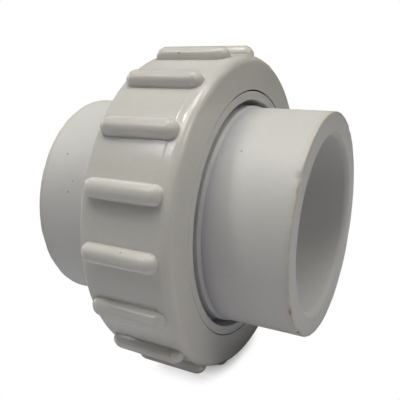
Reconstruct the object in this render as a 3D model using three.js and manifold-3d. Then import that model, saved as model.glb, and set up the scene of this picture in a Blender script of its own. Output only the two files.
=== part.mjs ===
// Pipe union for 1 1/2 inch (48.3 mm) solvent-weld pressure pipe, drawn tightened.
//
// A threaded end and a plain tailpiece meet face to face. A rubber ring in the threaded end's face
// seals the joint, and a large ribbed nut hooks over the tailpiece's flange and screws onto the
// threaded end. Each half has a socket that a pipe is glued into.
//
// Millimetres. The pipe axis is X and +Z is up. The threaded end points to -X and the tailpiece to
// +X. Each piece is drawn from the sealing plane, and the finished group is moved along the axis so
// that the origin is in the middle of the union's length.

import * as THREE from 'three';
import { mergeVertices } from 'three/addons/utils/BufferGeometryUtils.js';
import Module from 'manifold-3d';

// Pipe sockets, alike in both halves
const PIPE_DIAMETER = 48.3;
const SOCKET_DEPTH = 31;
const SOCKET_WALL = 6.25;
const STOP_STEP = 2.5; // how far the pipe's stop stands in from the socket wall
const MOUTH_BEVEL = 0.9;
const RIM_BEVEL = 0.3; // on the outer edge of each open end

// The two halves, measured from the sealing plane
const THREADED_END_LENGTH = 40;
const TAILPIECE_LENGTH = 34;
const RUNNING_GAP = 0.2; // between pieces that bear on each other when tightened

// Thread, right-handed
const PITCH = 4;
const THREAD_CORE_RADIUS = 38.2;
const THREAD_HEIGHT = 1.6;
const THREAD_BASE_WIDTH = 2.2;
const THREAD_CREST_WIDTH = 1.0;
const THREAD_CLEARANCE = 0.35; // radial, from each crest to the root it faces
const THREAD_SINK = 0.4; // how deep a ridge is rooted in its wall
const MALE_THREAD_FROM = -11.0;
const MALE_THREAD_TO = -2.5;
const NUT_THREAD_FROM = -12.5;
const NUT_THREAD_TO = -2.25;
const THREAD_FADE_TURNS = 0.12; // over which a ridge rises from the wall at each end

// Shoulder behind the male thread
const SHOULDER_X = -12.8;
const SHOULDER_LENGTH = 2.6;
const FACE_BEVEL = 0.8;

// Sealing ring and its groove
const RING_RADIUS = 30.2; // centre of the section
const RING_HALF_WIDTH = 1.95;
const RING_HALF_DEPTH = 1.6;
const GROOVE_CLEARANCE = 0.35;

// Tailpiece flange, and the collar that fills the nut's hole
const FLANGE_RADIUS = 38.0;
const FLANGE_THICKNESS = 6.0;
const FLANGE_BEVEL = 0.6;
const COLLAR_RADIUS = 34.6;
const COLLAR_WIDTH = 2.35;
const COLLAR_FACE_X = 10.8;
const RELIEF_BOTTOM_X = 4.5; // floor of the moulding relief between the collar and the tube
const ROOT_STEP = 0.45; // thickening of the tube where it leaves the relief
const ROOT_STEP_X = 11.7;
const ROOT_STEP_LENGTH = 0.9;

// Nut
const NUT_BACK_X = -14.0;
const NUT_FRONT_X = 10.9;
const NUT_BACK_RADIUS = 44.0;
const NUT_BAND_RADIUS = 44.3; // where the band meets the front shoulder
const NUT_HOLE_RADIUS = 35.2;
const NUT_SHOULDER_LENGTH = 2.6;
const NUT_SHOULDER_DROP = 2.3;
const NUT_EDGE = 0.4;
const NUT_MOUTH_BEVEL = 0.7;
const PILOT_X = -0.8; // from here forward the bore is narrow and guides the flange

// Grip ribs
const RIB_COUNT = 18;
const RIB_FROM_X = -13.0;
const RIB_TO_X = 8.8;
const RIB_HALF_WIDTH = 2.65;
const RIB_HEIGHT = 2.9;
const RIB_SINK = 0.6; // the rib's widest line lies this far under the band's surface

// Faceting
const ROUND_SEGMENTS = 48;
const RING_SECTION_SEGMENTS = 8;
const THREAD_SEGMENTS_PER_TURN = 40;
const SHOULDER_STEPS = 4;
const RIB_CAP_SEGMENTS = 2;
const RIB_SECTION_SEGMENTS = 8;
const WELD_DISTANCE = 1e-4;

const wasm = await Module();
wasm.setup();

// ---- Helpers ----

// A closed solid for cutting and joining, made from any closed geometry.
function solidOf(geometry) {
  const bare = geometry.clone();
  bare.deleteAttribute('normal');
  bare.deleteAttribute('uv');
  const welded = mergeVertices(bare, WELD_DISTANCE);
  const corners = welded.index.array;
  const triangles = [];
  for (let i = 0; i < corners.length; i += 3) {
    const [a, b, c] = [corners[i], corners[i + 1], corners[i + 2]];
    if (a !== b && b !== c && c !== a) triangles.push(a, b, c);
  }
  return new wasm.Manifold(new wasm.Mesh({
    numProp: 3,
    vertProperties: Float32Array.from(welded.attributes.position.array),
    triVerts: Uint32Array.from(triangles),
  }));
}

function geometryOf(solid) {
  const mesh = solid.getMesh();
  const geometry = new THREE.BufferGeometry();
  geometry.setAttribute('position', new THREE.BufferAttribute(mesh.vertProperties, 3));
  geometry.setIndex(new THREE.BufferAttribute(mesh.triVerts, 1));
  geometry.computeVertexNormals();
  return geometry;
}

// A body turned about the pipe axis. The outline is a list of [x, radius] points that goes round
// the section once, outer side towards +X, and closes on itself.
function turned(outline) {
  const points = outline.map(([x, radius]) => new THREE.Vector2(radius, x));
  points.push(points[0].clone());
  return new THREE.LatheGeometry(points, ROUND_SEGMENTS).rotateZ(-Math.PI / 2);
}

// Points on a quarter of an ellipse in the outline plane, from angle `from` to angle `to` in turns.
function arc(x, radius, halfLength, halfHeight, from, to, steps) {
  return Array.from({ length: steps + 1 }, (_, i) => {
    const angle = 2 * Math.PI * THREE.MathUtils.lerp(from, to, i / steps);
    return [x + halfLength * Math.cos(angle), radius + halfHeight * Math.sin(angle)];
  });
}

// The line of one thread ridge. It sinks into the wall at both ends, so that the ridge starts and
// stops gently. Its frames keep the ridge's section in the plane that holds the pipe axis.
class ThreadLine extends THREE.Curve {
  constructor(rootRadius, fromX, toX, phaseX, sinkDepth) {
    super();
    Object.assign(this, { rootRadius, fromX, toX, phaseX, sinkDepth });
  }

  angleAt(t) {
    const x = THREE.MathUtils.lerp(this.fromX, this.toX, t);
    return (2 * Math.PI * (x - this.phaseX)) / PITCH;
  }

  getPoint(t, target = new THREE.Vector3()) {
    const x = THREE.MathUtils.lerp(this.fromX, this.toX, t);
    const turnsFromEnd = Math.min(x - this.fromX, this.toX - x) / PITCH;
    const sunk = 1 - THREE.MathUtils.smoothstep(turnsFromEnd, 0, THREAD_FADE_TURNS);
    const radius = this.rootRadius + this.sinkDepth * sunk;
    const angle = this.angleAt(t);
    return target.set(x, radius * Math.cos(angle), radius * Math.sin(angle));
  }

  computeFrenetFrames(segments) {
    const frames = { tangents: [], normals: [], binormals: [] };
    for (let i = 0; i <= segments; i++) {
      const angle = this.angleAt(i / segments);
      frames.tangents.push(new THREE.Vector3(0, -Math.sin(angle), Math.cos(angle)));
      frames.normals.push(new THREE.Vector3(0, Math.cos(angle), Math.sin(angle)));
      frames.binormals.push(new THREE.Vector3(-1, 0, 0));
    }
    return frames;
  }
}

// One thread ridge. `outward` is 1 for a ridge that stands out from its wall, as on a bolt, and -1
// for one that stands in towards the axis, as in a nut.
function threadRidge(rootRadius, fromX, toX, phaseX, outward) {
  const foot = -outward * THREAD_SINK;
  const crest = outward * THREAD_HEIGHT;
  const flankSlope = (THREAD_BASE_WIDTH - THREAD_CREST_WIDTH) / THREAD_HEIGHT;
  const footWidth = THREAD_BASE_WIDTH + flankSlope * THREAD_SINK;
  const section = new THREE.Shape([
    new THREE.Vector2(foot, -footWidth / 2),
    new THREE.Vector2(crest, -THREAD_CREST_WIDTH / 2),
    new THREE.Vector2(crest, THREAD_CREST_WIDTH / 2),
    new THREE.Vector2(foot, footWidth / 2),
  ]);
  const sinkDepth = -outward * (THREAD_HEIGHT + THREAD_SINK / 2);
  const line = new ThreadLine(rootRadius, fromX, toX, phaseX, sinkDepth);
  const steps = Math.ceil(((toX - fromX) / PITCH) * THREAD_SEGMENTS_PER_TURN);
  return new THREE.ExtrudeGeometry(section, { steps, bevelEnabled: false, extrudePath: line });
}

function plastic(color, roughness) {
  return new THREE.MeshStandardMaterial({ color, roughness, metalness: 0 });
}

function part(name, geometry, material) {
  const mesh = new THREE.Mesh(geometry, material);
  mesh.name = name;
  return mesh;
}

// ---- Shared sizes ----

const socketRadius = PIPE_DIAMETER / 2;
const tubeRadius = socketRadius + SOCKET_WALL;
const boreRadius = socketRadius - STOP_STEP;
const halfGap = RUNNING_GAP / 2;
const nutRootRadius = THREAD_CORE_RADIUS + THREAD_HEIGHT + THREAD_CLEARANCE;
const pilotRadius = THREAD_CORE_RADIUS + THREAD_CLEARANCE;

// ---- Threaded end ----

function threadedEnd() {
  const end = -THREADED_END_LENGTH;
  const face = -halfGap;
  const grooveFloor = face - 2 * RING_HALF_DEPTH - halfGap;
  const grooveInner = RING_RADIUS - RING_HALF_WIDTH - GROOVE_CLEARANCE;
  const grooveOuter = RING_RADIUS + RING_HALF_WIDTH + GROOVE_CLEARANCE;
  const body = solidOf(turned([
    [end, socketRadius + MOUTH_BEVEL],
    [end, tubeRadius - RIM_BEVEL],
    [end + RIM_BEVEL, tubeRadius],
    [SHOULDER_X - SHOULDER_LENGTH, tubeRadius],
    [SHOULDER_X - SHOULDER_LENGTH / 2, tubeRadius + SHOULDER_LENGTH / 4],
    [SHOULDER_X, THREAD_CORE_RADIUS - FACE_BEVEL],
    [SHOULDER_X + FACE_BEVEL, THREAD_CORE_RADIUS],
    [face - FACE_BEVEL, THREAD_CORE_RADIUS],
    [face, THREAD_CORE_RADIUS - FACE_BEVEL],
    [face, grooveOuter],
    [grooveFloor, grooveOuter],
    [grooveFloor, grooveInner],
    [face, grooveInner],
    [face, boreRadius],
    [end + SOCKET_DEPTH, boreRadius],
    [end + SOCKET_DEPTH, socketRadius],
    [end + MOUTH_BEVEL, socketRadius],
  ]));
  const ridge = threadRidge(THREAD_CORE_RADIUS, MALE_THREAD_FROM, MALE_THREAD_TO, 0, 1);
  return geometryOf(body.add(solidOf(ridge)));
}

// ---- Tailpiece ----

function tailpiece() {
  const end = TAILPIECE_LENGTH;
  const flangeBack = halfGap + FLANGE_THICKNESS;
  const reliefOuter = COLLAR_RADIUS - COLLAR_WIDTH;
  const rootRadius = tubeRadius + ROOT_STEP;
  return turned([
    [halfGap, boreRadius],
    [halfGap, FLANGE_RADIUS - FLANGE_BEVEL],
    [halfGap + FLANGE_BEVEL, FLANGE_RADIUS],
    [flangeBack, FLANGE_RADIUS],
    [flangeBack, COLLAR_RADIUS],
    [COLLAR_FACE_X - NUT_EDGE / 2, COLLAR_RADIUS],
    [COLLAR_FACE_X, COLLAR_RADIUS - NUT_EDGE / 2],
    [COLLAR_FACE_X, reliefOuter],
    [RELIEF_BOTTOM_X, reliefOuter],
    [RELIEF_BOTTOM_X, rootRadius],
    [ROOT_STEP_X - ROOT_STEP_LENGTH, rootRadius],
    [ROOT_STEP_X, tubeRadius],
    [end - RIM_BEVEL, tubeRadius],
    [end, tubeRadius - RIM_BEVEL],
    [end, socketRadius + MOUTH_BEVEL],
    [end - MOUTH_BEVEL, socketRadius],
    [end - SOCKET_DEPTH, socketRadius],
    [end - SOCKET_DEPTH, boreRadius],
  ]);
}

// ---- Sealing ring ----

function sealingRing() {
  const centre = -halfGap - RING_HALF_DEPTH;
  const section = arc(
    centre, RING_RADIUS, RING_HALF_DEPTH, RING_HALF_WIDTH, 0.5, -0.5, RING_SECTION_SEGMENTS,
  );
  return turned(section.slice(0, -1));
}

// ---- Nut ----

function nutBody() {
  const seat = halfGap + FLANGE_THICKNESS + RUNNING_GAP;
  const shoulderStart = NUT_FRONT_X - NUT_SHOULDER_LENGTH;
  const shoulder = arc(
    shoulderStart, NUT_BAND_RADIUS - NUT_SHOULDER_DROP, NUT_SHOULDER_LENGTH, NUT_SHOULDER_DROP,
    0.25, 0, SHOULDER_STEPS,
  );
  return solidOf(turned([
    [NUT_BACK_X, nutRootRadius + NUT_MOUTH_BEVEL],
    [NUT_BACK_X, NUT_BACK_RADIUS - NUT_EDGE],
    [NUT_BACK_X + NUT_EDGE, NUT_BACK_RADIUS],
    ...shoulder,
    [NUT_FRONT_X, NUT_HOLE_RADIUS + NUT_EDGE],
    [NUT_FRONT_X - NUT_EDGE, NUT_HOLE_RADIUS],
    [seat, NUT_HOLE_RADIUS],
    [seat, pilotRadius],
    [PILOT_X, pilotRadius],
    [PILOT_X, nutRootRadius],
    [NUT_BACK_X + NUT_MOUTH_BEVEL, nutRootRadius],
  ]));
}

// One grip rib, a long rounded bead partly sunk in the band, at the given angle round the axis.
function gripRib(angle) {
  const straight = RIB_TO_X - RIB_FROM_X - 2 * RIB_HALF_WIDTH;
  const bead = new THREE.CapsuleGeometry(
    RIB_HALF_WIDTH, straight, RIB_CAP_SEGMENTS, RIB_SECTION_SEGMENTS,
  );
  bead.rotateZ(-Math.PI / 2);
  bead.scale(1, 1, (RIB_HEIGHT + RIB_SINK) / RIB_HALF_WIDTH);
  bead.translate((RIB_FROM_X + RIB_TO_X) / 2, 0, NUT_BAND_RADIUS - RIB_SINK);
  return solidOf(bead.rotateX(angle));
}

function unionNut() {
  const ridge = threadRidge(nutRootRadius, NUT_THREAD_FROM, NUT_THREAD_TO, PITCH / 2, -1);
  let nut = nutBody().add(solidOf(ridge));
  for (let i = 0; i < RIB_COUNT; i++) {
    // Half a step off the vertical, so that the union lies on two neighbouring ribs.
    nut = nut.add(gripRib((2 * Math.PI * (i + 0.5)) / RIB_COUNT));
  }
  return geometryOf(nut);
}

// ---- Assembly ----

const glossyWhite = plastic(0xd9d8d2, 0.35);
const satinWhite = plastic(0xd3d3d1, 0.5);
const blackRubber = plastic(0x1c1c1c, 0.8);

const pipeUnion = new THREE.Group();
pipeUnion.position.x = (THREADED_END_LENGTH - TAILPIECE_LENGTH) / 2;
pipeUnion.add(
  part('threaded_end', threadedEnd(), satinWhite),
  part('tailpiece', tailpiece(), satinWhite.clone()),
  part('sealing_ring', sealingRing(), blackRubber),
  part('union_nut', unionNut(), glossyWhite),
);

export default pipeUnion;
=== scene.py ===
"""Looks of a plastic pipe union: fine meshes, materials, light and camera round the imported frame.

Lengths are in millimetres unless a comment says metres, and are turned into metres where a mesh
or a texture is made.
The pipe axis is X. A section is drawn as (x, radius) corners and turned about that axis; an angle
round the axis is measured from +Y towards +Z. Every size of a piece is read from the frame, and
only what the CAD solids leave out (rounds, bead shape, wear) is set here.
"""

import math

import bmesh
import bpy
import numpy as np
from mathutils import Matrix, Vector


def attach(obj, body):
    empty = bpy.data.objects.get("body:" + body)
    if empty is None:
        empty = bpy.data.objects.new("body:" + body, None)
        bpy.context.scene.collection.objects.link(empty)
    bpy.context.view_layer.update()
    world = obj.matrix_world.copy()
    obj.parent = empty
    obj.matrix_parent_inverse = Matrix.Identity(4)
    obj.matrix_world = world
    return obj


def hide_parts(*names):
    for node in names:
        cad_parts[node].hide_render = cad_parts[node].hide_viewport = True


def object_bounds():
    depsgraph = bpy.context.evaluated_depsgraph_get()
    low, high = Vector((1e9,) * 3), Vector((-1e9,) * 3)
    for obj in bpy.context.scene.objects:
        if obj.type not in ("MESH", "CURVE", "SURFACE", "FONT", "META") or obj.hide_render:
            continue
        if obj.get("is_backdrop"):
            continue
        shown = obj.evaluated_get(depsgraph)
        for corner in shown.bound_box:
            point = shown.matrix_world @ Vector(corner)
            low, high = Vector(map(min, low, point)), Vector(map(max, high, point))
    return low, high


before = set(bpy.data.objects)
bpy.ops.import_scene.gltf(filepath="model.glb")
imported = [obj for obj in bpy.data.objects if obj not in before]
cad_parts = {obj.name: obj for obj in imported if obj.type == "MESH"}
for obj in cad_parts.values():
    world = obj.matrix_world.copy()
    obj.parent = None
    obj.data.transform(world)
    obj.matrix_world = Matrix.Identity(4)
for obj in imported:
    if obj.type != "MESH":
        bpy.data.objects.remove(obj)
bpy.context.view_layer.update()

MM = 0.001
TURN = 2 * math.pi

# Telling the CAD's faces apart
NEAR = 0.03  # vertices this close lie at one place
APART = 1.0  # less than the step between two neighbouring radii or faces
RING_CLEAR = 0.2  # more than the gap between the sealing ring and its groove's floor

# Fineness of the meshes
ARC_STEP = math.radians(15)  # along a round
ROW_SPACING = 1.5  # longest stretch between two rows of a straight side
GUARD = 0.12  # distance of the first row beside a round
THREAD_ROW_SPACING = 0.22
COLUMNS = 448  # round a pipe half
RING_COLUMNS = 240
RING_SECTION_POINTS = 48
WELD = 1e-3  # points closer than this become one

# Rounds on edges and in corners
SHARP = 0.15
EDGE = 0.3
SOFT = 0.6
MOUTH = 2.0  # where a socket narrows behind its open end

# Gentle unevenness of the moulded surfaces
TUBE_UNEVEN = 0.05
NUT_UNEVEN = 0.05

# Collar of the tailpiece: a little larger than its bearing size, and a little off centre
COLLAR_GROWTH = 0.25
COLLAR_SAG = 0.15
COLLAR_SAG_ANGLE = math.radians(215)

# Thread
PITCH = 4.0
CREST_HALF_WIDTH = 0.42
FLANK_WIDTH = 0.75
THREAD_FADE = 0.7  # length over which a ridge rises at each end

# Sealing ring
RING_SQUEEZE = 0.8  # 1 is an elliptical section, less is squarer
FLASH_HEIGHT = 0.06
FLASH_WIDTH = 0.12  # as an angle round the section

# Grip beads on the nut
BEAD_COUNT = 18
BEAD_HALF_WIDTH = 2.4
BEAD_FOOT = 0.22  # round between a bead's side and the band
SIDE_POWER = 2.3  # of the section; 2 is an ellipse, more is squarer and less is more sloping
TIP_POWER = 2.0
FRONT_CAP = (-0.5, 2.7, 2.3)  # shift of its middle, length, and power in plan
BACK_CAP = (0.0, 2.55, 2.6)
CAP_STEPS = 16  # mesh columns round a quarter of a bead's plan, and across a whole cell
SIDE_STEPS = 12
BEAD_RINGS = 12
FOOT_RINGS = 4
FIELD_RINGS = 6
FIELD_CROWDING = 1.5  # more than 1 brings the field's rings nearer to the bead
CELL_MARGIN = 0.55  # from the nut's back edge to the cells of the beads
CELL_FRONT = 0.62  # how far along the shoulder the cells reach, as a share of its length
SHOULDER_ROWS = 14

# Wear on a rim: (degrees, length, width, depth, stain from 0 to 1)
TAIL_NICKS = [
    (142.3, 1.2, 0.6, 0.55, 0.0),
    (148.0, 1.6, 0.4, 0.20, 0.7),
    (207.1, 1.5, 0.5, 0.20, 1.0),
    (229.3, 0.9, 0.6, 0.35, 1.0),
    (233.5, 0.5, 0.9, 0.20, 0.6),
    (50.9, 1.0, 0.4, 0.15, 0.6),
]
SMALL_NICK = [(0, 360), (0.4, 1.6), (0.25, 0.45), (0.03, 0.08), (0, 0.5)]  # range of each value
NICK_WAVES = 9  # along the ragged edge of a nick
NICK_RAGGEDNESS = 0.35
RIM_STAIN = 0.3  # distance from the rim over which its stain fades

# Dark specks: (x, radius, degrees, size)
TAIL_SPECKS = [(15.8, 30.5, 133.7, 0.3), (20.7, 30.5, 132.2, 0.4), (19.5, 30.5, 139.0, 0.2)]
THREADED_SPECKS = [(-26.9, 30.4, 162.9, 0.4), (-30.2, 30.4, 143.0, 0.4), (-25.8, 30.4, 157.0, 0.3)]
NUT_SPECKS = [
    (-2.1, 45.9, 102.6, 0.4), (2.5, 44.2, 105.6, 0.3), (2.3, 46.1, 177.5, 0.3),
    (9.2, 45.9, 157.4, 0.25), (5.0, 44.3, 262.0, 0.4), (-4.0, 44.3, 30.0, 0.35),
]

# Plastics
TUBE_COLOUR = (0.74, 0.735, 0.72)
TUBE_ROUGHNESS = 0.45
NUT_COLOUR = (0.75, 0.735, 0.70)
NUT_ROUGHNESS = 0.16
PVC_IOR = 1.5
SCATTER = 0.8  # how far light spreads under the surface
SCATTER_BY_COLOUR = (1.0, 0.95, 0.9)
CLOUD_SIZE = 22
CLOUD_RANGE = (0.965, 1.03)  # darkest and lightest patch, as a share of the colour
GRAIN_SIZE = 0.9
GRAIN_RANGE = (0.9, 1.1)
GRAIN_STRENGTH = 0.35
SMUDGE_SIZE = 9
SMUDGE_DEPTH = 0.04  # how far smudges move the roughness up and down
PEEL_SIZE = 3.5  # of the gentle waves left by the mould
PEEL_HEIGHT = 0.03
FINE_SIZE = 0.35
FINE_HEIGHT = 0.006
LINE_REACH = 0.35  # on each side of the witness line
LINE_HEIGHT = 0.035

# Dirt, and painted shade
SPECK_COLOUR = (0.16, 0.12, 0.07, 1.0)
SPECK_STRENGTH = 0.7
GRIME_COLOUR = (0.30, 0.21, 0.11, 1.0)
GRIME_STRENGTH = 0.75
GRIME_ROUGHNESS = 0.3  # added to the plastic's own
STAIN_COLOUR = (0.52, 0.44, 0.29, 1.0)
STAIN_SIZE = 1.6
# painted shade: a darker, bluer tint laid on gaps and creases by ambient occlusion
HOLLOW_SHADE_TINT = (0.86, 0.85, 0.92, 1.0)
HOLLOW_SHADE_REACH = 1.6  # width of a gap that gets painted shade as a hollow
SHADE_TINT = (0.67, 0.67, 0.79, 1.0)
BORE_SHADE = 0.1
ROOT_SHADE = 3.0  # length over which the shade at the tailpiece's root fades
TUBE_SHADE = 0.75  # how strong it is on the tube
GROOVE_SHADE = 0.2  # and in the groove beside the collar

# Rubber
RUBBER_CLEAN = 0.018
RUBBER_DUSTY = 0.06
DUST_SIZE = 1.2
RUBBER_GRAIN_SIZE = 0.3
RUBBER_GRAIN_HEIGHT = 0.01

# Floor
FLOOR_HALF_WIDTH = 1500
FLOOR_ALBEDO = (0.58, 0.58, 0.62, 1.0)
SHADOW_REACH = 8  # height up to which the object darkens the floor
SHADOW_FROM, SHADOW_TO = 0.1, 0.62  # openness of the floor where the shadow is full and where it ends
SHADOW_GREY = 0.3

# Light
ROOM_COLOUR = (0.97, 0.98, 1.0, 1.0)
ROOM_STRENGTH = 0.02
LAMP_PEAK = 4.24  # at the middle of a soft lamp, so that in all it gives as much as an even one
LAMP_DISTANCE = 0.9  # metres
# (name, degrees up, degrees round from the front towards +X, size in metres, watts, colour)
LAMPS = [
    ("top", 90, 0, 0.5, 1.83, (1.0, 0.985, 0.94)),
    ("front_top", 70, 0, 0.5, 1.27, (1.0, 0.985, 0.94)),
    ("left_top", 70, 300, 0.5, 0.65, (1.0, 0.985, 0.94)),
    ("left_spot", 66, 300, 0.13, 0.85, (1.0, 0.95, 0.84)),
    ("back_top", 75, 125, 0.5, 0.5, (1.0, 0.985, 0.94)),
    ("back_spot", 56, 116, 0.22, 0.6, (1.0, 0.95, 0.84)),
    ("cool_spot", 48, 142, 0.07, 0.25, (0.75, 0.88, 1.0)),
    ("right", 45, 75, 0.5, 1.1, (1.0, 0.97, 0.88)),
    ("front_left", 48, 316, 0.3, 0.7, (0.93, 0.97, 1.0)),
    ("left_low", 22, 270, 0.5, 1.25, (0.97, 0.98, 1.0)),
]

# Camera
VIEW_AZIMUTH = math.radians(27.5)
VIEW_ELEVATION = math.radians(18.4)
VIEW_ROLL = math.radians(-0.37)
VIEW_DISTANCE = 166.4
VIEW_ASIDE = Vector((0.6, -5.9))  # of the lens from the line through the origin, right and up
LENS_PER_WIDTH = 1.385  # focal length over sensor width
VIEW_SHIFT = Vector((-0.018, 0.071))
VIEW_NEAREST = 0.01  # metres


# ---- Reading the frame ----

class CadSection:
    """Where a CAD node's vertices lie along the pipe axis and away from it."""

    def __init__(self, node):
        corners = np.array([v.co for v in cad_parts[node].data.vertices]) / MM
        self.x = corners[:, 0]
        self.radius = np.hypot(corners[:, 1], corners[:, 2])
        self.angle = np.arctan2(corners[:, 2], corners[:, 1])

    def radii(self, x_from, x_to, at_least=0.0, at_most=math.inf):
        """The smallest and the largest radius between two places along the axis."""
        chosen = (self.x > x_from - NEAR) & (self.x < x_to + NEAR)
        chosen &= (self.radius > at_least) & (self.radius < at_most)
        return self.radius[chosen].min(), self.radius[chosen].max()

    def span(self, radius_from, radius_to, x_from=-math.inf):
        """The lowest and the highest x of the vertices between two radii."""
        chosen = (self.radius > radius_from - NEAR) & (self.radius < radius_to + NEAR)
        chosen &= self.x > x_from
        return self.x[chosen].min(), self.x[chosen].max()


# ---- Outlines ----

def rounded(corners, spacing=ROW_SPACING, closed=True):
    """Points along an outline of (x, radius, round) corners, with each corner rounded."""
    places = [np.array(corner[:2], float) for corner in corners]
    points = []
    for i, here in enumerate(places):
        if not closed and i in (0, len(places) - 1):
            points.append(here)
            continue
        into = here - places[i - 1]
        away = places[(i + 1) % len(places)] - here
        into /= np.linalg.norm(into)
        away /= np.linalg.norm(away)
        turn = math.atan2(into[0] * away[1] - into[1] * away[0], float(into @ away))
        size = corners[i][2]
        start = here - into * size * math.tan(abs(turn) / 2)
        side = math.copysign(1.0, turn)
        centre = start + side * size * np.array((-into[1], into[0]))
        steps = max(2, math.ceil(abs(turn) / ARC_STEP))
        for k in range(steps + 1):
            angle = turn * k / steps
            c, s = math.cos(angle), math.sin(angle)
            arm = start - centre
            points.append(centre + np.array((c * arm[0] - s * arm[1], s * arm[0] + c * arm[1])))
    return spread(points, spacing, closed)


def spread(points, spacing, closed):
    """Adds points to the long straight stretches of an outline."""
    out = []
    count = len(points)
    for i in range(count):
        out.append(points[i])
        if i == count - 1 and not closed:
            break
        after = points[(i + 1) % count]
        length = float(np.linalg.norm(after - points[i]))
        if length < 2.5 * GUARD:
            continue
        between = math.ceil(length / spacing)
        shares = [GUARD / length] if length < 4 * GUARD else [GUARD / length, 1 - GUARD / length]
        shares += [k / between for k in range(1, between)]
        for share in sorted(shares):
            out.append(points[i] * (1 - share) + after * share)
    return np.array(out)


# ---- Skins: grids of points in (x, radius, angle), welded into one closed mesh ----

class Skin:
    """Collects grids of quads and turns them into one object."""

    def __init__(self, name):
        self.name = name
        self.points = []
        self.quads = []
        self.marks = {"rim": [], "wear": [], "shade": []}
        self.count = 0

    def add(self, x, radius, angle, rim=0.0, wear=0.0, shade=0.0, wrap=(True, True)):
        """A grid whose rows and columns may each close on themselves."""
        shape = np.broadcast(x, radius, angle).shape
        x, radius, angle = (np.broadcast_to(values, shape) for values in (x, radius, angle))
        self.points.append(
            np.stack((x, radius * np.cos(angle), radius * np.sin(angle)), -1).reshape(-1, 3))
        for mark, values in (("rim", rim), ("wear", wear), ("shade", shade)):
            self.marks[mark].append(np.broadcast_to(values, shape).ravel())
        index = np.arange(shape[0] * shape[1]).reshape(shape) + self.count
        if wrap[0]:
            index = np.vstack((index, index[:1]))
        if wrap[1]:
            index = np.hstack((index, index[:, :1]))
        self.quads.append(
            np.stack((index[:-1, :-1], index[1:, :-1], index[1:, 1:], index[:-1, 1:]), -1)
            .reshape(-1, 4))
        self.count += shape[0] * shape[1]

    def build(self, material, weld=False):
        points = np.concatenate(self.points)
        mesh = bpy.data.meshes.new(self.name)
        mesh.from_pydata(points * MM, [], np.concatenate(self.quads).tolist())
        for mark, values in self.marks.items():
            layer = mesh.attributes.new(mark, "FLOAT", "POINT")
            layer.data.foreach_set("value", np.concatenate(values).astype(np.float32))
        shaped = bmesh.new()
        shaped.from_mesh(mesh)
        if weld:
            bmesh.ops.remove_doubles(shaped, verts=shaped.verts, dist=WELD * MM)
        if shaped.calc_volume(signed=True) < 0:
            bmesh.ops.reverse_faces(shaped, faces=shaped.faces)
        for face in shaped.faces:
            face.smooth = True
        shaped.to_mesh(mesh)
        shaped.free()
        mesh.materials.append(material)
        made = bpy.data.objects.new(self.name, mesh)
        bpy.context.scene.collection.objects.link(made)
        return made


def smoothstep(value, start, end):
    share = np.clip((value - start) / (end - start), 0.0, 1.0)
    return share * share * (3 - 2 * share)


def waves(seed, x, angle, height):
    """The gentle unevenness of a moulded surface, the same on every run."""
    rng = np.random.default_rng(seed)
    total = 0.0
    kinds = 6
    for _ in range(kinds):
        turns = rng.integers(1, 8)
        length = rng.uniform(14, 60)
        phase = rng.uniform(0, TURN)
        total = total + np.sin(turns * angle + TURN * x / length + phase)
    return height * total / kinds


def thread_height(x, angle, x_from, x_to, phase_x):
    """How much of a full thread ridge stands at each place, from 0 to 1."""
    turns = angle / TURN
    line_x = phase_x + PITCH * (turns + np.round((x - phase_x) / PITCH - turns))
    flank_end = CREST_HALF_WIDTH + FLANK_WIDTH
    ridge = 1 - smoothstep(np.abs(x - line_x), CREST_HALF_WIDTH, flank_end)
    rise = smoothstep(line_x, x_from, x_from + THREAD_FADE)
    fall = smoothstep(line_x, x_to - THREAD_FADE, x_to)
    return ridge * rise * (1 - fall)


def nick(x, radius, angle, at_x, at_radius, at_angle, long, wide):
    """A bell of height 1 at one place on an edge, `long` round the axis and `wide` across it."""
    aside = (angle - at_angle + math.pi) % TURN - math.pi
    wave = np.sin(aside * at_radius * NICK_WAVES / long + 2 * at_angle)
    ragged = 1 + NICK_RAGGEDNESS * wave
    across = np.hypot(x - at_x, radius - at_radius) / wide
    return np.exp(-(aside * at_radius * ragged / long) ** 2 - across ** 2)


def worn_rim(x, radius, angle, end_x, rim_radius, out, nicks):
    """Pushes nicks into the outer rim of an open end. `out` is 1 for an end that faces +X.

    Also returns how near each point is to the rim and how stained its nick is, both from 0 to 1.
    """
    rim = np.exp(-np.hypot(x - end_x, radius - rim_radius) / RIM_STAIN)
    wear = np.zeros_like(rim)
    for at_angle, long, wide, depth, stain in nicks:
        bell = nick(x, radius, angle, end_x, rim_radius, math.radians(at_angle), long, wide)
        x = x - out * depth * bell
        radius = radius - depth * bell
        rim = rim * (1 - bell * (1 - stain))
        wear = np.maximum(wear, bell * stain)
    return x, radius, rim, wear


def scattered_nicks(seed, count):
    """Small nicks spread round a rim, in the same form as TAIL_NICKS."""
    rng = np.random.default_rng(seed)
    return [tuple(rng.uniform(low, high) for low, high in SMALL_NICK) for _ in range(count)]


# ---- Node helpers ----

def node(tree, kind, inputs=None, **properties):
    made = tree.nodes.new(kind)
    for name, value in properties.items():
        setattr(made, name, value)
    for name, value in (inputs or {}).items():
        if isinstance(value, bpy.types.NodeSocket):
            tree.links.new(value, made.inputs[name])
        else:
            made.inputs[name].default_value = value
    return made


def noise(tree, place, size, detail=2.0, rough=0.5):
    """Noise from 0 to 1 whose features are about `size` millimetres wide."""
    inputs = {"Vector": place, "Scale": 1 / (size * MM), "Detail": detail, "Roughness": rough}
    return node(tree, "ShaderNodeTexNoise", inputs).outputs["Fac"]


def ramp(tree, value, low, high, to_low=0.0, to_high=1.0):
    """A smooth step from `to_low` to `to_high` as the value goes from `low` to `high`."""
    inputs = {"Value": value, "From Min": low, "From Max": high, "To Min": to_low, "To Max": to_high}
    made = node(tree, "ShaderNodeMapRange", inputs, interpolation_type="SMOOTHSTEP")
    return made.outputs["Result"]


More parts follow.
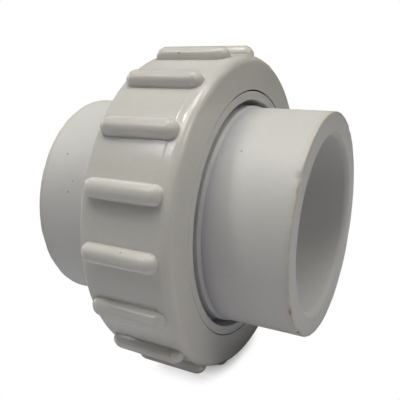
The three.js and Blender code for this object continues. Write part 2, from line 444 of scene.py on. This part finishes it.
def math_node(tree, operation, a, b=0.0):
    return node(tree, "ShaderNodeMath", {0: a, 1: b}, operation=operation).outputs[0]


def vector_node(tree, operation, a, b=(0, 0, 0)):
    return node(tree, "ShaderNodeVectorMath", {0: a, 1: b}, operation=operation)


def mix(tree, share, a, b, blend="MIX"):
    """Blends two colours. The node's inputs 0, 6 and 7 are the share and the two colours."""
    inputs = {0: share, 6: a, 7: b}
    return node(tree, "ShaderNodeMix", inputs, data_type="RGBA", blend_type=blend).outputs[2]


def mark(tree, name):
    """One of the marks that a skin carries at its points."""
    return node(tree, "ShaderNodeAttribute", attribute_name=name).outputs["Fac"]


def tinted(colour, share):
    return (*(channel * share for channel in colour), 1.0)


def grey(value):
    return (value, value, value, 1.0)


def add_bump(tree, shader, height, scale):
    """Bump from a height, where a height of 1 is `scale` millimetres."""
    bump = node(tree, "ShaderNodeBump", {"Height": height, "Distance": scale * MM, "Strength": 1.0})
    tree.links.new(bump.outputs["Normal"], shader.inputs["Normal"])


# ---- Materials ----

def new_material(name):
    material = bpy.data.materials.new(name)
    material.use_nodes = True
    return material, material.node_tree


def object_place(tree):
    return node(tree, "ShaderNodeTexCoord").outputs["Object"]


def pvc(name, colour, roughness, spots, line_x=None):
    """White moulded PVC with its wear, and a witness line round it at `line_x` if that is given."""
    material, tree = new_material(name)
    shader = tree.nodes["Principled BSDF"]
    place = object_place(tree)
    nicked = math_node(tree, "MULTIPLY", ramp(tree, mark(tree, "wear"), 0.2, 0.8), GRIME_STRENGTH)
    tree.links.new(pvc_colour(tree, place, colour, nicked, spots), shader.inputs["Base Color"])
    tree.links.new(pvc_roughness(tree, place, roughness, nicked), shader.inputs["Roughness"])
    add_bump(tree, shader, pvc_height(tree, place, line_x), 1.0)
    shader.inputs["IOR"].default_value = PVC_IOR
    shader.inputs["Subsurface Weight"].default_value = 1.0
    shader.inputs["Subsurface Radius"].default_value = SCATTER_BY_COLOUR
    shader.inputs["Subsurface Scale"].default_value = SCATTER * MM
    return material


def pvc_colour(tree, place, colour, nicked, spots):
    """Cloudy and grained white with painted shade in the hollows, stains on the rim, grime and
    specks.
    """
    darkest, lightest = (tinted(colour, share) for share in CLOUD_RANGE)
    base = mix(tree, noise(tree, place, CLOUD_SIZE, 3.0), darkest, lightest)
    darkest, lightest = (grey(share) for share in GRAIN_RANGE)
    grain = mix(tree, noise(tree, place, GRAIN_SIZE, 3.0, 0.6), darkest, lightest)
    base = mix(tree, GRAIN_STRENGTH, base, grain, "MULTIPLY")

    # Painted shade: darker and bluer in narrow gaps and creases by ambient occlusion, and where the
    # shade mark lies
    reach = {"Distance": HOLLOW_SHADE_REACH * MM}
    openness = node(tree, "ShaderNodeAmbientOcclusion", reach, samples=8).outputs["AO"]
    base = mix(tree, ramp(tree, openness, 0.2, 0.9, 1.0, 0.0), base, HOLLOW_SHADE_TINT, "MULTIPLY")
    base = mix(tree, mark(tree, "shade"), base, SHADE_TINT, "MULTIPLY")

    patches = ramp(tree, noise(tree, place, STAIN_SIZE, 4.0, 0.7), 0.3, 0.6, 0.5, 1.0)
    stained = math_node(tree, "MULTIPLY", mark(tree, "rim"), patches)
    base = mix(tree, stained, base, STAIN_COLOUR)
    base = mix(tree, nicked, base, GRIME_COLOUR)
    speckled = math_node(tree, "MULTIPLY", specks(tree, place, spots), SPECK_STRENGTH)
    return mix(tree, speckled, base, SPECK_COLOUR)


def specks(tree, place, spots):
    """How much of a dark speck there is at each place, from 0 to 1."""
    total = 0.0
    for x, radius, degrees, size in spots:
        angle = math.radians(degrees)
        centre = Vector((x, radius * math.cos(angle), radius * math.sin(angle))) * MM
        away = vector_node(tree, "DISTANCE", place, centre).outputs["Value"]
        spot = ramp(tree, away, 0.3 * size * MM, size * MM, 1.0, 0.0)
        total = math_node(tree, "MAXIMUM", total, spot)
    return total


def pvc_roughness(tree, place, roughness, nicked):
    """Smudged by handling, and rougher where it is nicked."""
    smudge = noise(tree, place, SMUDGE_SIZE, 4.0, 0.65)
    smudged = ramp(tree, smudge, 0.3, 0.7, roughness - SMUDGE_DEPTH, roughness + SMUDGE_DEPTH)
    return math_node(tree, "ADD", smudged, math_node(tree, "MULTIPLY", nicked, GRIME_ROUGHNESS))


def pvc_height(tree, place, line_x):
    """Texture left by the mould, in millimetres."""
    peel = math_node(tree, "MULTIPLY", noise(tree, place, PEEL_SIZE, 1.0), PEEL_HEIGHT)
    fine = math_node(tree, "MULTIPLY", noise(tree, place, FINE_SIZE), FINE_HEIGHT)
    height = math_node(tree, "ADD", peel, fine)
    if line_x is None:
        return height
    return math_node(tree, "ADD", height, witness_line(tree, place, line_x))


def witness_line(tree, place, line_x):
    """A faint line left by the mould round the nut's band, as a height in millimetres."""
    x = node(tree, "ShaderNodeSeparateXYZ", {0: place}).outputs["X"]
    away = math_node(tree, "ABSOLUTE", math_node(tree, "SUBTRACT", x, line_x * MM))
    line = ramp(tree, away, 0.0, LINE_REACH * MM, 1.0, 0.0)
    return math_node(tree, "MULTIPLY", line, LINE_HEIGHT)


def rubber(name):
    """Black rubber with patches of dust."""
    material, tree = new_material(name)
    shader = tree.nodes["Principled BSDF"]
    place = object_place(tree)
    dust = noise(tree, place, DUST_SIZE, 4.0, 0.7)
    base = mix(tree, ramp(tree, dust, 0.45, 0.75), grey(RUBBER_CLEAN), grey(RUBBER_DUSTY))
    tree.links.new(base, shader.inputs["Base Color"])
    tree.links.new(ramp(tree, dust, 0.3, 0.7, 0.55, 0.75), shader.inputs["Roughness"])
    add_bump(tree, shader, noise(tree, place, RUBBER_GRAIN_SIZE), RUBBER_GRAIN_HEIGHT)
    return material


# ---- Pieces ----

ANGLES = np.linspace(0, TURN, COLUMNS, endpoint=False)


def make_tailpiece(cad):
    """The half on the right: flange, collar with a groove inside it, and tube with a socket."""
    face_x, end_x = cad.x.min(), cad.x.max()
    mouth_radius = cad.radii(end_x, end_x)[0]
    socket_radius, tube_radius = cad.radii(end_x - 2 * APART, end_x)
    bore_radius, flange_radius = cad.radii(face_x, face_x + APART)
    mouth_x = cad.span(socket_radius, socket_radius)[1]
    stop_x = cad.span(bore_radius, bore_radius)[1]
    flange_back = cad.span(flange_radius, flange_radius)[1]
    collar_x = cad.span(tube_radius + APART, flange_radius - APART)[1]
    relief_radius = cad.radii(collar_x, collar_x, at_least=tube_radius + APART)[0]
    collar_radius = cad.radii(flange_back + APART, collar_x)[1]
    relief_floor = cad.span(relief_radius, relief_radius)[0]
    root_radius = cad.radii(relief_floor, relief_floor)[0]
    step_from = cad.span(root_radius, root_radius)[1]
    step_to = cad.span(tube_radius, tube_radius)[0]

    points = rounded([
        (face_x, bore_radius, EDGE),
        (face_x, flange_radius, SOFT),
        (flange_back, flange_radius, EDGE),
        (flange_back, collar_radius, SHARP),
        (collar_x, collar_radius, EDGE),
        (collar_x, relief_radius, EDGE),
        (relief_floor, relief_radius, SHARP),
        (relief_floor, root_radius, SHARP),
        (step_from, root_radius, EDGE),
        (step_to, tube_radius, EDGE),
        (end_x, tube_radius, EDGE),
        (end_x, mouth_radius, EDGE),
        (mouth_x, socket_radius, MOUTH),
        (stop_x, socket_radius, EDGE),
        (stop_x, bore_radius, EDGE),
    ])
    x = points[:, :1]
    radius = points[:, 1:] + waves(11, x, ANGLES, TUBE_UNEVEN)
    collar = (x > flange_back) & (points[:, 1:] > tube_radius + APART)
    radius = radius + collar * (COLLAR_GROWTH + COLLAR_SAG * np.cos(ANGLES - COLLAR_SAG_ANGLE))
    nicks = TAIL_NICKS + scattered_nicks(seed=5, count=26)
    x, radius, rim, wear = worn_rim(x, radius, ANGLES, end_x, tube_radius, 1, nicks)
    root = (radius < root_radius + SHARP) * np.exp(-np.maximum(x - step_to, 0) / ROOT_SHADE)
    root = root * np.where(x < step_to, GROOVE_SHADE, TUBE_SHADE)
    shade = np.where(radius < mouth_radius, BORE_SHADE, root)
    skin = Skin("tailpiece_body")
    skin.add(x, radius, ANGLES, rim, wear, shade)
    return skin.build(pvc("tube_pvc_right", TUBE_COLOUR, TUBE_ROUGHNESS, TAIL_SPECKS))


def make_threaded_end(cad, ring, sealing_x):
    """The half on the left: tube with a socket, shoulder, thread, and a ring groove in its face."""
    end_x, face_x = cad.x.min(), cad.x.max()
    mouth_radius = cad.radii(end_x, end_x)[0]
    socket_radius, tube_radius = cad.radii(end_x, end_x + 2 * APART)
    bore_radius = cad.radii(face_x, face_x)[0]
    mouth_x = cad.span(socket_radius, socket_radius)[0]
    stop_x = cad.span(bore_radius, bore_radius)[0]
    neck_x = cad.span(tube_radius, tube_radius)[1]
    core_radius = cad.radii(face_x - APART, face_x - APART * 0.7)[1]
    shoulder_x = cad.span(core_radius, core_radius)[0]
    crest_radius = cad.radius.max()
    thread_from, thread_to = cad.span(crest_radius, crest_radius)
    bevel = face_x - cad.span(core_radius, core_radius)[1]
    groove_outer = cad.radii(face_x, face_x, at_most=tube_radius + 3 * APART)[1]
    floor_x = ring.x.min()
    floor_radii = cad.radii(floor_x - RING_CLEAR, floor_x + RING_CLEAR, at_most=ring.radius.min())
    groove_inner = floor_radii[1]
    groove_floor = cad.span(groove_inner, groove_inner)[0]

    back = rounded([
        (shoulder_x, core_radius, 0),
        (shoulder_x - bevel, core_radius - bevel, SOFT),
        (neck_x + SOFT, tube_radius + SOFT, 2 * SOFT),
        (neck_x, tube_radius, 0),
    ][::-1], closed=False)
    inner = rounded([
        (face_x - bevel, core_radius, 0),
        (face_x, core_radius - bevel, EDGE),
        (face_x, groove_outer, SHARP),
        (groove_floor, groove_outer, SHARP),
        (groove_floor, groove_inner, SHARP),
        (face_x, groove_inner, SHARP),
        (face_x, bore_radius, EDGE),
        (stop_x, bore_radius, EDGE),
        (stop_x, socket_radius, EDGE),
        (mouth_x, socket_radius, MOUTH),
        (end_x, mouth_radius, EDGE),
        (end_x, tube_radius, EDGE),
        (neck_x, tube_radius, 0),
    ], closed=False)
    rows = math.ceil((face_x - bevel - shoulder_x) / THREAD_ROW_SPACING)
    thread_x = np.linspace(shoulder_x, face_x - bevel, rows + 1)[1:-1]
    thread = np.stack((thread_x, np.full_like(thread_x, core_radius)), 1)
    points = np.concatenate((back, thread, inner[:-1]))

    x = points[:, :1]
    radius = points[:, 1:]
    outside = radius > core_radius - WELD
    ridge = thread_height(x, ANGLES, thread_from, thread_to, sealing_x)
    radius = radius + outside * ridge * (crest_radius - core_radius)
    radius = radius + waves(12, x, ANGLES, TUBE_UNEVEN)
    nicks = scattered_nicks(seed=6, count=30)
    x, radius, rim, wear = worn_rim(x, radius, ANGLES, end_x, tube_radius, -1, nicks)
    skin = Skin("threaded_end_body")
    skin.add(x, radius, ANGLES, rim, wear, BORE_SHADE * (radius < mouth_radius))
    return skin.build(pvc("tube_pvc_left", TUBE_COLOUR, TUBE_ROUGHNESS, THREADED_SPECKS))


def make_ring(cad):
    """The sealing ring: a squeezed round section with a low flash line on both sides."""
    half_depth = (cad.x.max() - cad.x.min()) / 2
    half_width = (cad.radius.max() - cad.radius.min()) / 2
    centre_x = (cad.x.max() + cad.x.min()) / 2
    centre_radius = (cad.radius.max() + cad.radius.min()) / 2
    around = np.linspace(0, -TURN, RING_SECTION_POINTS, endpoint=False)[:, None]
    flash = FLASH_HEIGHT * np.exp(-(np.sin(around) / FLASH_WIDTH) ** 2)
    along = np.sign(np.sin(around)) * np.abs(np.sin(around)) ** RING_SQUEEZE
    out = np.sign(np.cos(around)) * np.abs(np.cos(around)) ** RING_SQUEEZE
    angles = np.linspace(0, TURN, RING_COLUMNS, endpoint=False)
    skin = Skin("sealing_ring_body")
    radius = centre_radius + half_width * out + flash * np.sign(out)
    skin.add(centre_x + half_depth * along, radius, angles)
    return skin.build(rubber("seal_rubber"))


class NutShape:
    """Sizes of the nut, read from the frame."""

    def __init__(self, cad):
        self.back_x, self.front_x = cad.x.min(), cad.x.max()
        self.hole_radius = cad.radius.min()
        self.top_radius = cad.radius.max()
        self.seat_x = cad.span(self.hole_radius, self.hole_radius)[0]
        self.mouth_radius = cad.radii(self.back_x, self.back_x)[0]
        self.pilot_radius = cad.radii(self.seat_x, self.seat_x, at_most=self.mouth_radius)[1]
        inside = self.mouth_radius - 2 * NEAR
        self.root_radius = cad.radii(self.back_x, self.back_x + APART, at_most=inside)[1]
        self.mouth_x, self.pilot_x = cad.span(self.root_radius, self.root_radius)
        crests = np.abs(cad.radius - self.pilot_radius) < NEAR
        crests &= cad.x < self.pilot_x - APART / 2
        self.thread_from, self.thread_to = cad.x[crests].min(), cad.x[crests].max()
        self.face_radius = cad.radii(self.front_x, self.front_x)[1]

        self.bead_from, self.bead_to = cad.span(self.top_radius, self.top_radius)
        self.cell = TURN / BEAD_COUNT
        self.bead_angle = cad.angle[cad.radius > self.top_radius - NEAR].min()
        midway = np.abs((cad.angle - self.bead_angle) % self.cell - self.cell / 2) < self.cell / 10
        plain = midway & (cad.radius > self.mouth_radius + APART)
        self.band_radius = cad.radius[plain].max()
        self.shoulder_x = cad.x[plain][cad.radius[plain].argmax()]
        self.back_radius = cad.radii(self.back_x + 0.3, self.back_x + 0.5)[1]
        self.cell_from = self.back_x + CELL_MARGIN
        self.cell_to = self.shoulder_x + CELL_FRONT * (self.front_x - self.shoulder_x)

    def outside(self, x):
        """Radius of the plain band and its front shoulder."""
        along = (x - self.back_x) / (self.shoulder_x - self.back_x)
        band = self.back_radius + (self.band_radius - self.back_radius) * np.clip(along, 0, 1)
        share = np.clip((x - self.shoulder_x) / (self.front_x - self.shoulder_x), 0, 1)
        return band - (self.band_radius - self.face_radius) * (1 - np.sqrt(1 - share ** 2))


def bead_plan(shape):
    """Half way round one bead and its cell, from the front middle to the back middle.

    Returns the foot line, the crest line, the cell's edge as (x, aside) points, and how near each
    is to the tip of an end, from 0 to 1.
    """
    quarter = np.linspace(0, TURN / 4, CAP_STEPS + 1)
    reach = shape.band_radius * shape.cell / 2

    def cap(middle_x, length, power, way, cell_x):
        foot = np.stack((
            middle_x + way * length * np.cos(quarter) ** (2 / power),
            BEAD_HALF_WIDTH * np.sin(quarter) ** (2 / power)), 1)
        crest = np.tile((middle_x, 0.0), (CAP_STEPS + 1, 1))
        share = np.linspace(0, 2, CAP_STEPS + 1)
        aside = reach * np.minimum(share, 1)
        edge_x = cell_x + (middle_x - cell_x) * np.maximum(share - 1, 0)
        return foot, crest, np.stack((edge_x, aside), 1)

    front_shift, *front_form = FRONT_CAP
    back_shift, *back_form = BACK_CAP
    bead_from, bead_to = shape.bead_from + back_shift, shape.bead_to + front_shift
    front = cap(bead_to, *front_form, 1, shape.cell_to)
    back = cap(bead_from, *back_form, -1, shape.cell_from)
    side_x = np.linspace(bead_to, bead_from, SIDE_STEPS + 1)[1:-1]
    side = [np.stack((side_x, np.full_like(side_x, aside)), 1)
            for aside in (BEAD_HALF_WIDTH, 0.0, reach)]
    tip = np.stack((np.cos(quarter), np.zeros(CAP_STEPS + 1)), 1)
    lines = zip(front + (tip,), side + [side[1] * 0], back + (tip,))
    return [np.concatenate((f, s, b[::-1])) for f, s, b in lines]


def mirrored_loop(half):
    """Closes a half line with its mirror image on the other side of the middle."""
    return np.concatenate((half, half[-2:0:-1] * (1, -1)))


def bead_cell(shape):
    """The grid of one cell of the band with its bead: x, aside and height of every point."""
    foot, crest, cell_edge, tip = (mirrored_loop(half) for half in bead_plan(shape))
    power = SIDE_POWER + (TIP_POWER - SIDE_POWER) * tip[:, 0]
    plain = np.zeros(len(foot))
    tangent = np.roll(foot, -1, 0) - np.roll(foot, 1, 0)
    outward = np.stack((tangent[:, 1], -tangent[:, 0]), 1)
    outward /= np.linalg.norm(outward, axis=1)[:, None]
    height = shape.top_radius - shape.band_radius
    rows, heights = [], []
    for t in np.linspace(0, TURN / 4, BEAD_RINGS + 1):
        share = math.sin(t) ** (2 / power)
        rows.append(crest + share[:, None] * (foot - crest))
        heights.append(BEAD_FOOT + (height - BEAD_FOOT) * abs(math.cos(t)) ** (2 / power))
    for t in np.linspace(0, TURN / 4, FOOT_RINGS + 1)[1:]:
        rows.append(foot + outward * BEAD_FOOT * (1 - math.cos(t)))
        heights.append(plain + BEAD_FOOT * (1 - math.sin(t)))
    field_from = rows[-1]
    for share in np.linspace(0, 1, FIELD_RINGS + 1)[1:]:
        rows.append(field_from + (cell_edge - field_from) * share ** FIELD_CROWDING)
        heights.append(plain)
    rows = np.array(rows)
    return rows[..., 0], rows[..., 1], np.array(heights)


def make_nut(cad, sealing_x):
    """The nut: beaded band, shoulder, face with a hole, seat, and inner thread."""
    shape = NutShape(cad)
    skin = Skin("union_nut_body")
    x, aside, height = bead_cell(shape)
    for i in range(BEAD_COUNT):
        angle = shape.bead_angle + i * shape.cell + aside / shape.band_radius
        radius = shape.outside(x) + height + waves(21, x, angle, NUT_UNEVEN)
        skin.add(x, radius, angle, wrap=(False, True))

    tilt = np.linspace(math.asin(CELL_FRONT), TURN / 4, SHOULDER_ROWS)
    shoulder_x = shape.shoulder_x + (shape.front_x - shape.shoulder_x) * np.sin(tilt)
    shoulder = np.stack((shoulder_x, shape.outside(shoulder_x)), 1)
    front = rounded([
        (shape.front_x, shape.face_radius, 0),
        (shape.front_x, shape.hole_radius, SHARP),
        (shape.seat_x, shape.hole_radius, EDGE),
        (shape.seat_x, shape.pilot_radius, SHARP),
        (shape.pilot_x, shape.pilot_radius, EDGE),
        (shape.pilot_x, shape.root_radius, 0),
    ], closed=False)
    rows = math.ceil((shape.pilot_x - shape.mouth_x) / THREAD_ROW_SPACING)
    thread_x = np.linspace(shape.pilot_x, shape.mouth_x, rows + 1)[1:-1]
    thread = np.stack((thread_x, np.full_like(thread_x, shape.root_radius)), 1)
    back = rounded([
        (shape.mouth_x, shape.root_radius, 0),
        (shape.back_x, shape.mouth_radius, EDGE),
        (shape.back_x, shape.back_radius, EDGE),
        (shape.cell_from, shape.outside(shape.cell_from), 0),
    ], closed=False)
    points = np.concatenate((shoulder[:-1], front, thread, back))
    columns = BEAD_COUNT * CAP_STEPS
    angle = shape.bead_angle + np.arange(columns) * TURN / columns
    x = points[:, :1]
    ridge = thread_height(x, angle, shape.thread_from, shape.thread_to, sealing_x + PITCH / 2)
    in_thread = np.abs(points[:, 1:] - shape.root_radius) < WELD
    radius = points[:, 1:] - in_thread * ridge * (shape.root_radius - shape.pilot_radius)
    radius = radius + waves(21, x, angle, NUT_UNEVEN)
    skin.add(x, radius, angle, wrap=(False, True))
    material = pvc("nut_pvc", NUT_COLOUR, NUT_ROUGHNESS, NUT_SPECKS, line_x=shape.seat_x)
    return skin.build(material, weld=True)


# ---- Stage, light and camera ----

def make_floor(height):
    """A pale floor: white to the eye with a soft contact shadow, and a plain pale paper to light."""
    material, tree = new_material("floor_paper")
    paper = tree.nodes["Principled BSDF"]
    paper.inputs["Base Color"].default_value = FLOOR_ALBEDO
    paper.inputs["Roughness"].default_value = 0.9
    reach = {"Distance": SHADOW_REACH * MM}
    openness = node(tree, "ShaderNodeAmbientOcclusion", reach, samples=16).outputs["AO"]
    shade = ramp(tree, openness, SHADOW_FROM, SHADOW_TO, SHADOW_GREY, 1.0)
    seen = node(tree, "ShaderNodeEmission", {"Color": shade, "Strength": 1.0}).outputs[0]
    eye = node(tree, "ShaderNodeLightPath").outputs["Is Camera Ray"]
    both = node(tree, "ShaderNodeMixShader", {0: eye, 1: paper.outputs[0], 2: seen})
    tree.links.new(both.outputs[0], tree.nodes["Material Output"].inputs["Surface"])

    half = FLOOR_HALF_WIDTH * MM
    mesh = bpy.data.meshes.new("floor")
    corners = [(x * half, y * half, height) for x, y in ((-1, -1), (1, -1), (1, 1), (-1, 1))]
    mesh.from_pydata(corners, [], [(0, 1, 2, 3)])
    mesh.materials.append(material)
    floor = bpy.data.objects.new("floor", mesh)
    bpy.context.scene.collection.objects.link(floor)
    floor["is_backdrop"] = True


def make_world():
    """White to the eye, and a dim room to everything else."""
    world = bpy.data.worlds.new("studio")
    world.use_nodes = True
    tree = world.node_tree
    dim = node(tree, "ShaderNodeBackground", {"Color": ROOM_COLOUR, "Strength": ROOM_STRENGTH})
    seen = node(tree, "ShaderNodeBackground", {"Color": grey(1.0), "Strength": 1.0})
    eye = node(tree, "ShaderNodeLightPath").outputs["Is Camera Ray"]
    both = node(tree, "ShaderNodeMixShader", {0: eye, 1: dim.outputs[0], 2: seen.outputs[0]})
    tree.links.new(both.outputs[0], tree.nodes["World Output"].inputs["Surface"])
    bpy.context.scene.world = world


def view_direction(up, round_angle):
    """From the origin, `up` from level and `round_angle` from the front towards +X."""
    return Vector((
        math.sin(round_angle) * math.cos(up), -math.cos(round_angle) * math.cos(up), math.sin(up)))


def soft_strength(tree):
    """Strength over a square lamp: LAMP_PEAK in the middle, nothing from half its width out."""
    spot = node(tree, "ShaderNodeNewGeometry").outputs["Parametric"]
    from_middle = vector_node(tree, "SUBTRACT", spot, (0.5, 0.5, 0)).outputs[0]
    flat = vector_node(tree, "MULTIPLY", from_middle, (1, 1, 0)).outputs[0]
    away = vector_node(tree, "LENGTH", flat).outputs["Value"]
    return ramp(tree, away, 0.0, 0.5, LAMP_PEAK, 0.0)


def make_lamp(name, up_degrees, round_degrees, size, watts, colour):
    """A soft-edged lamp that faces the origin."""
    data = bpy.data.lights.new(name, "AREA")
    data.shape = "SQUARE"
    data.size = size
    data.energy = watts
    data.color = colour
    data.use_nodes = True
    tree = data.node_tree
    tree.links.new(soft_strength(tree), tree.nodes["Emission"].inputs["Strength"])
    lamp = bpy.data.objects.new(name, data)
    away = view_direction(math.radians(up_degrees), math.radians(round_degrees))
    lamp.location = away * LAMP_DISTANCE
    lamp.rotation_euler = away.to_track_quat("Z", "Y").to_euler()
    bpy.context.scene.collection.objects.link(lamp)


def make_camera():
    back = view_direction(VIEW_ELEVATION, VIEW_AZIMUTH)
    level = Vector((math.cos(VIEW_AZIMUTH), math.sin(VIEW_AZIMUTH), 0))
    turn = Matrix.Rotation(VIEW_ROLL, 3, back)
    right = turn @ level
    up = back.cross(right)
    data = bpy.data.cameras.new("camera")
    data.lens = data.sensor_width * LENS_PER_WIDTH
    data.shift_x, data.shift_y = VIEW_SHIFT
    data.clip_start = VIEW_NEAREST
    camera = bpy.data.objects.new("camera", data)
    place = (right * VIEW_ASIDE.x + up * VIEW_ASIDE.y + back * VIEW_DISTANCE) * MM
    facing = Matrix((right, up, back)).transposed().to_4x4()
    camera.matrix_world = Matrix.Translation(place) @ facing
    bpy.context.scene.collection.objects.link(camera)
    bpy.context.scene.camera = camera


def main():
    sections = {name: CadSection(name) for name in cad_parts}
    sealing_x = (sections["threaded_end"].x.max() + sections["tailpiece"].x.min()) / 2
    pieces = [
        (make_threaded_end(sections["threaded_end"], sections["sealing_ring"], sealing_x),
         "threaded_end", "threaded_end", "socket_plastic"),
        (make_ring(sections["sealing_ring"]), "sealing_ring", "threaded_end", "seal_rubber"),
        (make_tailpiece(sections["tailpiece"]), "tailpiece", "tailpiece", "socket_plastic"),
        (make_nut(sections["union_nut"], sealing_x), "union_nut", "nut", "nut_plastic"),
    ]
    for piece, node_name, body, slot in pieces:
        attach(piece, body)
        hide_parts(node_name)

    make_floor(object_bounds()[0].z)
    make_world()
    for lamp in LAMPS:
        make_lamp(*lamp)
    make_camera()
    bpy.context.scene.view_settings.view_transform = "Standard"


main()
